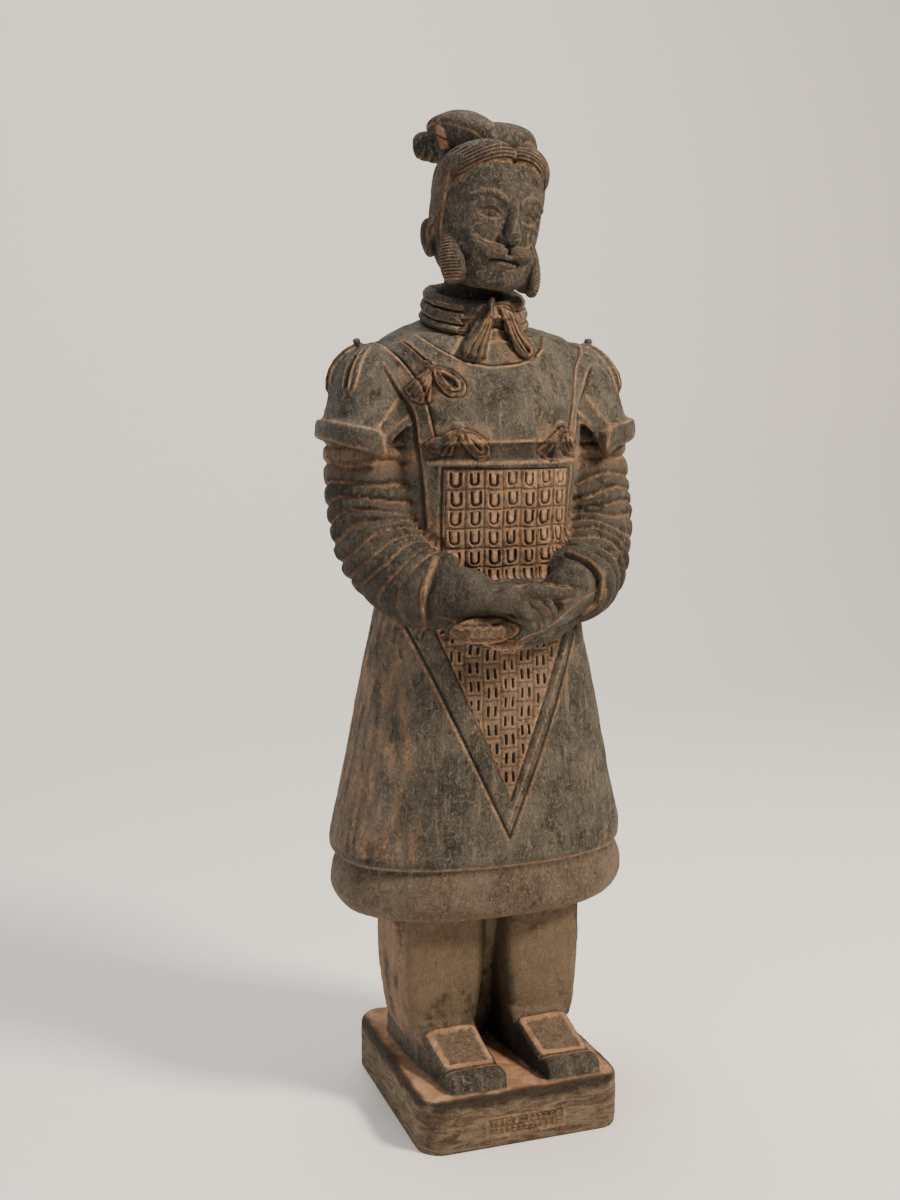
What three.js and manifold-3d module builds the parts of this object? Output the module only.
// A standing warrior in fired clay, a cast copy about 55 cm tall, in two pieces: the body on its
// plinth, and the head, whose neck drops into a socket in the collar.
// Millimetres, +Z up, the figure faces -Y, its left hand is at +X, and the origin is on the
// underside at the middle of the plinth.
import * as THREE from "three";
import { mergeVertices } from "three/addons/utils/BufferGeometryUtils.js";
import Module from "manifold-3d";

const wasm = await Module();
wasm.setup();

// Driving dimensions, plinth to crown
const PLINTH = { width: 116, depth: 131, height: 30, corner: 13, edge: 2.5 };
const SHOE = { width: 32, toeY: -60, heelY: 34, toeTop: 39, ankleTop: 53, gap: 20 };
const LEG = { x: 30.2, y: 9, hemZ: 126 };
const COAT_Y = 14;
const HEM_Z = 118;
const PANEL = { top: 361.5, half: 34.5, columns: 7, rows: 6, pitch: 10.3 };
const APRON = { top: 276, half: 40, tip: 183, bandWidth: 9, bandTip: 163 };
const NECK = { y: 19, socket: 17.5, floor: 430, gap: 0.35, rim: 454 };
const HEAD = { turn: 9, roll: 6.5, nod: 2, x: -3.5, y: 7, chin: 455.5, width: 57, depth: 62 };
const SUNK = 2.5;
const CLAY_GREY = 0x554d42;
const CLAY_GREY_HEAD = 0x4f483e;

// Geometry helpers
function solid(geometry, matrix = new THREE.Matrix4()) {
  const bare = geometry.clone().applyMatrix4(matrix);
  bare.deleteAttribute("normal");
  bare.deleteAttribute("uv");
  const merged = mergeVertices(bare, 1e-3);
  const corners = new Uint32Array(merged.index.array);
  const mesh = () =>
    new wasm.Mesh({
      numProp: 3,
      vertProperties: merged.attributes.position.array,
      triVerts: corners,
    });
  const made = new wasm.Manifold(mesh());
  if (made.volume() > 0) return made;
  // The shape came out mirrored, so its triangles are turned round.
  for (let i = 0; i < corners.length; i += 3) {
    [corners[i + 1], corners[i + 2]] = [corners[i + 2], corners[i + 1]];
  }
  return new wasm.Manifold(mesh());
}

// A cylinder whose rows are moved to the stations: rim(row, angle) is a point of the surface.
function loft(segments, rows, rim, middle) {
  const tube = new THREE.CylinderGeometry(1, 1, 1, segments, rows);
  const place = tube.attributes.position;
  const at = new THREE.Vector3();
  for (let i = 0; i < place.count; i++) {
    at.fromBufferAttribute(place, i);
    const row = Math.round((at.y + 0.5) * rows);
    const onAxis = Math.hypot(at.x, at.z) < 0.5;
    const p = onAxis ? middle(row) : rim(row, Math.atan2(-at.z, at.x));
    place.setXYZ(i, p.x, p.y, p.z);
  }
  return tube;
}

function roundPower(value, power) {
  return Math.sign(value) * Math.abs(value) ** power;
}

// Level rings, each { z, a, b, x, y, n }: half-widths a and b, centre x and y, squareness n.
function ringLoft(segments, rings) {
  const rim = (row, angle) => {
    const { z, a, b, x = 0, y = 0, n = 2 } = rings[row];
    return new THREE.Vector3(
      x + a * roundPower(Math.cos(angle), 2 / n),
      y + b * roundPower(Math.sin(angle), 2 / n),
      z,
    );
  };
  const middle = (row) => new THREE.Vector3(rings[row].x ?? 0, rings[row].y ?? 0, rings[row].z);
  return loft(segments, rings.length - 1, rim, middle);
}

function ball(x, y, z, rx, ry, rz, across = 12, down = 8) {
  const matrix = new THREE.Matrix4().makeTranslation(x, y, z).scale(new THREE.Vector3(rx, ry, rz));
  return solid(new THREE.SphereGeometry(1, across, down), matrix);
}

// A drop shape from one point to another, round across, flattened along flat by thin.
function drop(from, to, wide, thin, flat, across = 8, rows = 5) {
  const along = to.clone().sub(from);
  const side = new THREE.Vector3().crossVectors(along, flat).normalize();
  const out = new THREE.Vector3().crossVectors(side, along).normalize();
  const frame = new THREE.Matrix4().makeBasis(
    side.multiplyScalar(wide),
    along.clone().multiplyScalar(0.5),
    out.multiplyScalar(thin),
  );
  frame.setPosition(from.clone().add(to).multiplyScalar(0.5));
  const shape = new THREE.SphereGeometry(1, across, rows);
  const place = shape.attributes.position;
  for (let i = 0; i < place.count; i++) {
    const swell = 0.62 + 0.38 * place.getY(i);
    place.setXYZ(i, place.getX(i) * swell, place.getY(i), place.getZ(i) * swell);
  }
  return solid(shape, frame);
}

function join(solids) {
  return solids.reduce((sum, next) => sum.add(next));
}

// The outer skin of a joined form: pockets closed in between its shapes are filled.
function filled(form) {
  return form.decompose().reduce((most, next) => (next.volume() > most.volume() ? next : most));
}

function meshOf(manifold, name, colour) {
  const made = manifold.getMesh();
  const geometry = new THREE.BufferGeometry();
  const points = new Float32Array(made.numVert * 3);
  for (let i = 0; i < made.numVert; i++) {
    const first = i * made.numProp;
    points.set(made.vertProperties.subarray(first, first + 3), i * 3);
  }
  geometry.setAttribute("position", new THREE.BufferAttribute(points, 3));
  geometry.setIndex(new THREE.BufferAttribute(made.triVerts, 1));
  geometry.computeVertexNormals();
  const finish = new THREE.MeshStandardMaterial({ color: colour, roughness: 0.85, metalness: 0 });
  const mesh = new THREE.Mesh(geometry, finish);
  mesh.name = name;
  return mesh;
}

// Plinth: a slab with round corners and softened edges, and a label of raised strokes in front
function roundedSlab(width, depth, corner) {
  const x = width / 2;
  const y = depth / 2;
  const outline = new THREE.Shape();
  outline.moveTo(-x + corner, -y);
  outline.lineTo(x - corner, -y);
  outline.absarc(x - corner, -y + corner, corner, -Math.PI / 2, 0);
  outline.absarc(x - corner, y - corner, corner, 0, Math.PI / 2);
  outline.absarc(-x + corner, y - corner, corner, Math.PI / 2, Math.PI);
  outline.absarc(-x + corner, -y + corner, corner, Math.PI, 1.5 * Math.PI);
  return outline;
}

function plinth() {
  const { width, depth, height, corner, edge } = PLINTH;
  const outline = roundedSlab(width - 2 * edge, depth - 2 * edge, corner - edge);
  const slab = new THREE.ExtrudeGeometry(outline, {
    depth: height - 2 * edge,
    bevelSize: edge,
    bevelThickness: edge,
    bevelSegments: 2,
    curveSegments: 4,
  });
  const label = { width: 46, height: 11, proud: 0.8, z: 12, strokes: 10 };
  const parts = [solid(slab, new THREE.Matrix4().makeTranslation(0, 0, edge))];
  const plate = new THREE.BoxGeometry(label.width, 2, label.height);
  parts.push(solid(plate, new THREE.Matrix4().makeTranslation(0, 1 - depth / 2 - label.proud, label.z)));
  for (let i = 0; i < label.strokes; i++) {
    const tall = label.height - 3 - 2.4 * (i % 2);
    const stroke = new THREE.BoxGeometry(1.1, 1, tall);
    const x = (i + 0.5 - label.strokes / 2) * (label.width - 3) / label.strokes;
    parts.push(solid(stroke, new THREE.Matrix4().makeTranslation(x, -depth / 2 - label.proud, label.z)));
  }
  return join(parts);
}

// Shoes: square toes with a turned-up cap; legs: wide trousers, narrower at the ankle
function shoe(side) {
  const { width, toeY, heelY, toeTop, ankleTop, gap } = SHOE;
  const sunk = PLINTH.height - 2;
  const profile = new THREE.Shape();
  profile.moveTo(toeY + 1, sunk);
  profile.lineTo(heelY, sunk);
  profile.lineTo(heelY - 2, ankleTop + 4);
  profile.lineTo(-18, ankleTop + 2);
  profile.lineTo(-24, ankleTop - 2);
  profile.lineTo(toeY + 9, toeTop);
  profile.lineTo(toeY + 8, toeTop + 2);
  profile.lineTo(toeY, toeTop);
  profile.lineTo(toeY, toeTop - 5);
  const shape = new THREE.ExtrudeGeometry(profile, {
    depth: width - 3,
    bevelSize: 1.5,
    bevelThickness: 1.5,
    bevelSegments: 1,
    curveSegments: 1,
  });
  // The profile's x is the row frame's y, and it is extruded along x.
  const turn = new THREE.Matrix4().makeBasis(
    new THREE.Vector3(0, 1, 0),
    new THREE.Vector3(0, 0, 1),
    new THREE.Vector3(1, 0, 0),
  );
  const middle = 2 + side * (gap / 2 + width / 2);
  return solid(shape, turn.setPosition(middle - (width - 3) / 2, 0, 0));
}

function leg(side) {
  const { x, y, hemZ } = LEG;
  const rings = [
    { z: 46, a: 19, b: 24, x: side * 30, y: y - 1, n: 4 },
    { z: 54, a: 21.5, b: 28, x: side * 30, y, n: 4 },
    { z: 66, a: 24.3, b: 29.5, x: side * 30.2, y: y + 1, n: 4 },
    { z: 90, a: 26.8, b: 31, x: side * x, y: y + 2, n: 4 },
    { z: hemZ, a: 27.3, b: 31, x: side * x, y: y + 2, n: 4 },
  ];
  return solid(ringLoft(16, rings));
}

// Coat and trunk: a bell of two layers below, the padded chest above, closing at the neck
const TRUNK = [
  { z: HEM_Z - 3, a: 66, b: 38, x: 1 },
  { z: HEM_Z - 1, a: 77, b: 46, x: 1 },
  { z: HEM_Z + 6, a: 84, b: 51, x: 1 },
  { z: HEM_Z + 15, a: 84.5, b: 52, x: 1 },
  { z: HEM_Z + 25, a: 81.5, b: 50, x: 1 },
  { z: HEM_Z + 28, a: 80, b: 49, x: 1 },
  { z: HEM_Z + 29.5, a: 84, b: 52 },
  { z: HEM_Z + 42, a: 83.5, b: 52.3 },
  { z: 192, a: 76.5, b: 50 },
  { z: 232, a: 68.5, b: 47.2 },
  { z: 272, a: 59.5, b: 46 },
  { z: 300, a: 54, b: 46 },
  { z: 335, a: 53, b: 46.5 },
  { z: 370, a: 56, b: 48 },
  { z: 392, a: 59, b: 47.5, y: 15 },
  { z: 407, a: 61, b: 44.5, y: 16.5 },
  { z: 420, a: 60, b: 38, y: 18 },
  { z: 430, a: 51, b: 30.5, y: 19 },
  { z: 439, a: 31, b: 25.5, y: 19 },
].map((ring) => ({ y: COAT_Y, n: 2.35, ...ring }));

function trunk() {
  return solid(ringLoft(32, TRUNK));
}

// The trunk's surface in front (or behind) at a width and height, for what lies on it
function trunkY(x, z, back = false) {
  const upper = Math.max(1, TRUNK.findIndex((ring) => ring.z >= z));
  const low = TRUNK[upper - 1];
  const high = TRUNK[upper];
  const share = (z - low.z) / (high.z - low.z);
  const mix = (name) => low[name] + (high[name] - low[name]) * share;
  const out = Math.max(0, 1 - Math.abs(x / mix("a")) ** low.n) ** (1 / low.n);
  return mix("y") + (back ? 1 : -1) * mix("b") * out;
}

// A sheet that lies on the trunk: point(i, j) gives [x, z, proud] over columns and rows, and
// the sheet's underside is sunk below the surface.
function sheet(columns, rows, point, back = false) {
  const block = new THREE.BoxGeometry(columns, 1, rows, columns, 1, rows);
  const place = block.attributes.position;
  const sign = back ? 1 : -1;
  for (let n = 0; n < place.count; n++) {
    const i = Math.round(place.getX(n) + columns / 2);
    const j = Math.round(place.getZ(n) + rows / 2);
    const outer = place.getY(n) < 0;
    const [x, z, proud] = point(i, j);
    place.setXYZ(n, x, trunkY(x, z, back) + sign * (outer ? proud : -SUNK), z);
  }
  return solid(block);
}

// A raised strap along a chain of [x, z] points on the trunk
function strap(points, width, proud, back = false) {
  const across = points.map((_, i) => {
    const [ax, az] = points[Math.max(0, i - 1)];
    const [bx, bz] = points[Math.min(points.length - 1, i + 1)];
    const long = Math.hypot(bx - ax, bz - az);
    return [(az - bz) / long, (bx - ax) / long];
  });
  const point = (i, j) => {
    const reach = (i - 0.5) * width;
    return [points[j][0] + across[j][0] * reach, points[j][1] + across[j][1] * reach, proud];
  };
  return sheet(1, points.length - 1, point, back);
}

// Armour in front: small plates in rows on the chest, and a pointed apron with a border
function chestPlates() {
  const { top, half, columns, rows, pitch } = PANEL;
  const point = (i, j) => {
    const plate = i % 2 && j % 2;
    return [-half + (i / columns) * half, top - (j / 2) * pitch, plate ? 2 : 0.3];
  };
  return sheet(2 * columns, 2 * rows, point);
}

function apron() {
  const { top, half, tip, bandWidth, bandTip } = APRON;
  const parts = [];
  for (const side of [-1, 1]) {
    const point = (i, j) => {
      const share = j / 4;
      const low = i ? tip : bandTip;
      const wide = i ? half : half + bandWidth;
      return [side * wide * (1 - share), top + (low - top) * share, 1.5];
    };
    parts.push(sheet(1, 4, point));
  }
  const [wide, tall] = [9.2, 9.9];
  for (let row = 0; row * tall < top - tip - tall; row++) {
    const z = top - (row + 0.5) * tall;
    const room = half * ((z - tall / 2 - tip) / (top - tip)) - 1;
    const shift = row % 2 ? 0 : wide / 2;
    for (let x = -5 * wide + shift; x <= 5 * wide; x += wide) {
      if (Math.abs(x) + wide / 2 - 1.5 > room) continue;
      const plate = (i, j) => [x + (i - 0.5) * (wide - 1.6), z + (j - 0.5) * (tall - 1.6), 1];
      parts.push(sheet(1, 1, plate));
    }
  }
  return parts;
}

function armourBands() {
  const parts = [];
  for (const side of [-1, 1]) {
    const line = [[54, 424], [48.5, 405], [44, 385], [40.5, 362], [38.8, 335], [38.5, 305]];
    for (const back of [false, true]) {
      parts.push(strap(line.map(([x, z]) => [side * x, z]), 7, 1.2, back));
    }
  }
  const edge = [-36, -18, 0, 18, 36];
  for (const back of [false, true]) {
    parts.push(strap(edge.map((x) => [x, 373]), 3, 1.4, back));
  }
  return parts;
}

// Sleeves: wide and padded, in rolled folds round the arm, down to a cuff
const ARM_ROUTE = [
  [50, 19, 414],
  [58, 18, 392],
  [61, 12, 360],
  [61, 4, 330],
  [54.5, -10, 309],
  [43.5, -26, 299],
  [33, -40, 297],
];
const ARM_FOLDS = 11;
// The left elbow stands a little further from the body than the right
const LEFT_ELBOW_OUT = [0, 0, 1, 2.5, 3, 1.5, 0];

function armCurve(side) {
  const points = ARM_ROUTE.map(([x, y, z], k) => {
    const out = side > 0 ? LEFT_ELBOW_OUT[k] : 0;
    return new THREE.Vector3(side * (x + out), y, z);
  });
  return new THREE.CatmullRomCurve3(points);
}

function sleeve(side) {
  const curve = armCurve(side);
  const rows = ARM_FOLDS * 2;
  const bendAxis = new THREE.Vector3(0.65 * side, -0.76, 0).normalize();
  const swell = (t) => 24 + 1.6 * Math.sin(Math.PI * Math.min(1, t * 1.15)) - 4 * t ** 3;
  const rim = (row, angle) => {
    const t = row / rows;
    const at = curve.getPointAt(t);
    const along = curve.getTangentAt(t);
    const inner = new THREE.Vector3().crossVectors(bendAxis, along).normalize();
    const over = new THREE.Vector3().crossVectors(along, inner).normalize();
    const fold = row % 2 ? 1.5 : -1.1;
    const reach = swell(t) + (row === 0 || row === rows ? 0 : fold);
    return at
      .add(inner.multiplyScalar(Math.cos(angle) * reach))
      .add(over.multiplyScalar(Math.sin(angle) * reach));
  };
  return solid(loft(12, rows, rim, (row) => curve.getPointAt(row / rows)));
}

// Shoulder caps: a short over-sleeve that ends in a thick band, lowest at its front corner
const CAP_CORNER = 0.12;

function shoulderCap(side) {
  const rings = [
    { z: 369.5, a: 27, b: 29, y: 12 },
    { z: 370.5, a: 30, b: 32, y: 12 },
    { z: 382, a: 31, b: 33, y: 12 },
    { z: 384, a: 27.5, b: 30, y: 13 },
    { z: 400, a: 25.5, b: 28.5, y: 16 },
    { z: 412, a: 23.5, b: 26.5, y: 17.5 },
    { z: 422, a: 17, b: 20, y: 18.5 },
    { z: 428, a: 7, b: 8, y: 19 },
  ];
  const rim = (row, angle) => {
    const { z, a, b, y } = rings[row];
    const outward = roundPower(Math.cos(angle) * side, 0.8);
    const across = roundPower(Math.sin(angle), 0.8);
    const frontward = Math.min(1, Math.max(0, (-across - 0.2) / 0.5));
    const inward = Math.max(0, CAP_CORNER - outward);
    const beyond = Math.max(0, outward - CAP_CORNER);
    const inner = frontward * 30 * inward + (1 - frontward) * 26 * inward ** 2;
    const rise = inner + 9 * beyond ** 1.5 - 3 * frontward * Math.max(0, 1 - 4 * (inward + beyond));
    const x = side * (60 - row * 1.1 + a * outward);
    return new THREE.Vector3(x, y + b * across, z + rise * Math.max(0, 1 - row / 6));
  };
  const middle = (row) => new THREE.Vector3(side * (60 - row * 1.1), rings[row].y, rings[row].z);
  return solid(loft(16, rings.length - 1, rim, middle));
}

// Hands: the right lies over the left, its first finger out, the other three curled down
function hands() {
  const at = (x, y, z) => new THREE.Vector3(x, y, z);
  const front = new THREE.Vector3(0, -1, 0);
  const parts = [
    drop(at(8, -56, 299), at(-62, -22, 296), 19, 13, front, 10, 6),
    drop(at(-26, -44, 300), at(13, -58, 297), 13, 10, front, 10, 6),
    drop(at(-2, -46, 294), at(60, -24, 296), 18, 14, front, 10, 6),
    drop(at(-2, -57, 301), at(28.5, -55, 297.5), 4.6, 5, front),
    ball(-20, -50, 281, 18.5, 10, 6, 12, 6),
    ball(3, -30, 285, 42, 22, 20, 12, 8),
  ];
  for (let finger = 0; finger < 3; finger++) {
    const x = 1 + finger * 6;
    parts.push(drop(at(x - 3, -54, 302 - finger), at(x + 2, -57, 276 + finger * 3), 4, 5, front));
  }
  return parts;
}

// Collar: a scarf wound in three rolls that dip to the front, open in the middle for the neck
const COLLAR_DIP = 0.26;

function collar(grow = 0) {
  const rolls = [
    [438.2, 29.6, 4 + grow],
    [445.8, 28.6, 3.7 + grow],
    [452.2, 27.2, 3 + grow],
  ];
  const foot = 424;
  const profile = [new THREE.Vector2(0, foot), new THREE.Vector2(26.5 + grow, foot)];
  for (const [z, reach, round] of rolls) {
    for (let k = 0; k <= 3; k++) {
      const angle = -Math.PI * 0.42 + (k / 3) * Math.PI * 0.84;
      const out = reach + grow - round + round * Math.cos(angle);
      profile.push(new THREE.Vector2(out, z + round * Math.sin(angle)));
    }
  }
  profile.push(new THREE.Vector2(0, NECK.rim + grow));
  const turned = new THREE.LatheGeometry(profile, 20);
  const upright = new THREE.Matrix4().makeRotationX(Math.PI / 2).setPosition(0, NECK.y, 0);
  const dip = new THREE.Matrix4().makeShear(0, 0, 0, COLLAR_DIP, 0, 0);
  const level = new THREE.Matrix4().makeTranslation(0, 0, -COLLAR_DIP * NECK.y);
  return solid(turned, upright.premultiply(dip).premultiply(level));
}

function socket() {
  const { y, socket: reach, floor, rim } = NECK;
  const top = rim + 14;
  const hole = new THREE.CylinderGeometry(reach + 1.5, reach, top - floor, 20);
  const upright = new THREE.Matrix4().makeRotationX(Math.PI / 2);
  return solid(hole, upright.setPosition(0, y, (top + floor) / 2));
}

// Ribbon bows: a knot with a looped end and a fanned end
function bow(knot, loopEnd, fanEnd, out, size = 1) {
  const [k, l, f, o] = [knot, loopEnd, fanEnd, out].map((p) => new THREE.Vector3(...p));
  const wide = 5.2 * size;
  return [
    ball(k.x, k.y, k.z, 3 * size, 2.6, 3 * size, 5, 2),
    drop(k, l, wide, 2.8, o, 6, 3),
    drop(k, f, wide * 1.1, 2.8, o, 6, 3),
  ];
}

function bows() {
  const front = [0, -1, 0];
  const on = (x, z) => [x, trunkY(x, z) - 0.6, z];
  const parts = [
    ...bow(on(-27, 384), on(-15, 371), on(-39, 371), front),
    ...bow(on(29.5, 384), on(39, 370), on(20, 370), front),
    ...bow(on(-40, 411), on(-27, 401), on(-42, 394), front),
    ...bow([-2, NECK.y - 27, 447], on(15, 418), on(-12, 417), front, 1.5),
  ];
  for (const side of [-1, 1]) {
    const knot = [side * 67, 15, 425];
    parts.push(...bow(knot, [side * 73, -8, 403], [side * 85, 10, 404], [side * 0.7, -0.6, 0.6]));
  }
  return parts;
}

function warriorBody() {
  const shapes = [plinth(), trunk(), collar()];
  for (const side of [-1, 1]) {
    shapes.push(shoe(side), leg(side), sleeve(side), shoulderCap(side));
  }
  shapes.push(chestPlates(), ...apron(), ...armourBands());
  shapes.push(...hands(), ...bows());
  return filled(join(shapes).subtract(socket()));
}

// Head, modelled facing -Y with its chin at z 0 and its middle at the origin, then turned
function headShape() {
  const half = HEAD.width / 2;
  const deep = HEAD.depth / 2;
  const skull = ringLoft(16, [
    { z: 1, a: 12, b: 9, y: -13 },
    { z: 4, a: 19, b: 17, y: -10 },
    { z: 12, a: 24.5, b: 24.5, y: -4 },
    { z: 24, a: 27, b: deep - 3, y: -1 },
    { z: 44, a: half, b: deep, y: 1 },
    { z: 60, a: half - 1, b: deep - 1, y: 2 },
    { z: 71, a: half - 7, b: deep - 9, y: 3 },
    { z: 76, a: 10, b: 11, y: 4 },
  ]);
  const p = (x, y, z) => new THREE.Vector3(x, y, z);
  const front = p(0, -1, 0);
  const parts = [solid(skull)];
  parts.push(drop(p(0, -26, 44), p(0, -31.5, 24), 5.5, 6, front, 8, 5));
  parts.push(ball(0, -27, 8, 8, 5, 5, 8, 5));
  parts.push(ball(0, -28.5, 14.5, 8, 3, 2, 8, 4));
  for (const side of [-1, 1]) {
    parts.push(drop(p(side * 3, -29, 43), p(side * 21, -22, 44), 2, 2, front, 6, 4));
    parts.push(ball(side * 11, -25, 37.5, 5.5, 3.4, 2.6, 8, 4));
    parts.push(drop(p(side * 1, -30.5, 20.5), p(side * 16, -23, 22.5), 3, 2.6, front, 6, 4));
    parts.push(drop(p(side * 27.5, 5, 13), p(side * 28, 9, 32), 3.5, 7, p(side, 0, 0), 6, 5));
    parts.push(drop(p(side * 27.5, -9, 28), p(side * 23.5, -18, 3), 8, 3.5, p(side, -0.5, 0), 8, 5));
    parts.push(strapDown(side));
    parts.push(hairSweep(side));
    parts.push(capRoll(side));
  }
  return join(parts);
}

// The cap's strap runs down in front of the ear to the whiskers
function strapDown(side) {
  const box = new THREE.BoxGeometry(4, 8, 44);
  const lean = new THREE.Matrix4().makeRotationX(-0.14);
  return solid(box, lean.setPosition(side * 27.6, -2, 44));
}

// Hair combed from the middle parting up and over each temple
function hairSweep(side) {
  const from = new THREE.Vector3(side * -4, -24, 68);
  const to = new THREE.Vector3(side * 31, 2, 58);
  return drop(from, to, 9.5, 7, new THREE.Vector3(side * 0.3, -0.7, 0.7), 10, 6);
}

// Each half of the cap is a flat roll from the middle out over the temple, curled under
function capRoll(side) {
  const route = new THREE.CatmullRomCurve3(
    [
      [side * -2, -5, 73],
      [side * 6.5, 5, 81],
      [side * 16, 16, 82],
      [side * 24, 25, 76],
      [side * 24.5, 31, 67],
      [side * 16, 31, 64],
    ].map((c) => new THREE.Vector3(...c)),
  );
  const rows = 6;
  const rim = (row, angle) => {
    const t = row / rows;
    const along = route.getTangentAt(t);
    const level = new THREE.Vector3(side * -0.75, 0.66, 0);
    const up = new THREE.Vector3().crossVectors(along, level).normalize();
    const wide = 11.5 + 4.5 * Math.sin(Math.PI * t);
    const thick = 5 + 5 * Math.sin(Math.PI * Math.min(1, t * 1.1));
    return route
      .getPointAt(t)
      .add(level.clone().multiplyScalar(Math.cos(angle) * wide))
      .add(up.multiplyScalar(Math.sin(angle) * thick));
  };
  return solid(loft(10, rows, rim, (row) => route.getPointAt(row / rows)));
}

function warriorHead() {
  const turns = [HEAD.nod, HEAD.roll, HEAD.turn].map(THREE.MathUtils.degToRad);
  const pose = new THREE.Matrix4().makeRotationZ(turns[2]);
  pose.multiply(new THREE.Matrix4().makeRotationY(turns[1]));
  pose.multiply(new THREE.Matrix4().makeRotationX(turns[0]));
  pose.setPosition(HEAD.x, HEAD.y, HEAD.chin);
  const { y, socket: reach, floor, gap } = NECK;
  const shape = headShape().transform(pose.elements).subtract(collar(gap));
  const plug = new THREE.CylinderGeometry(16.5, reach - gap, 46, 20);
  const upright = new THREE.Matrix4().makeRotationX(Math.PI / 2);
  return filled(shape.add(solid(plug, upright.setPosition(0, y, floor + gap + 23))));
}

const statue = new THREE.Group();
statue.add(meshOf(warriorBody(), "warrior_body", CLAY_GREY));
statue.add(meshOf(warriorHead(), "warrior_head", CLAY_GREY_HEAD));

export default statue;
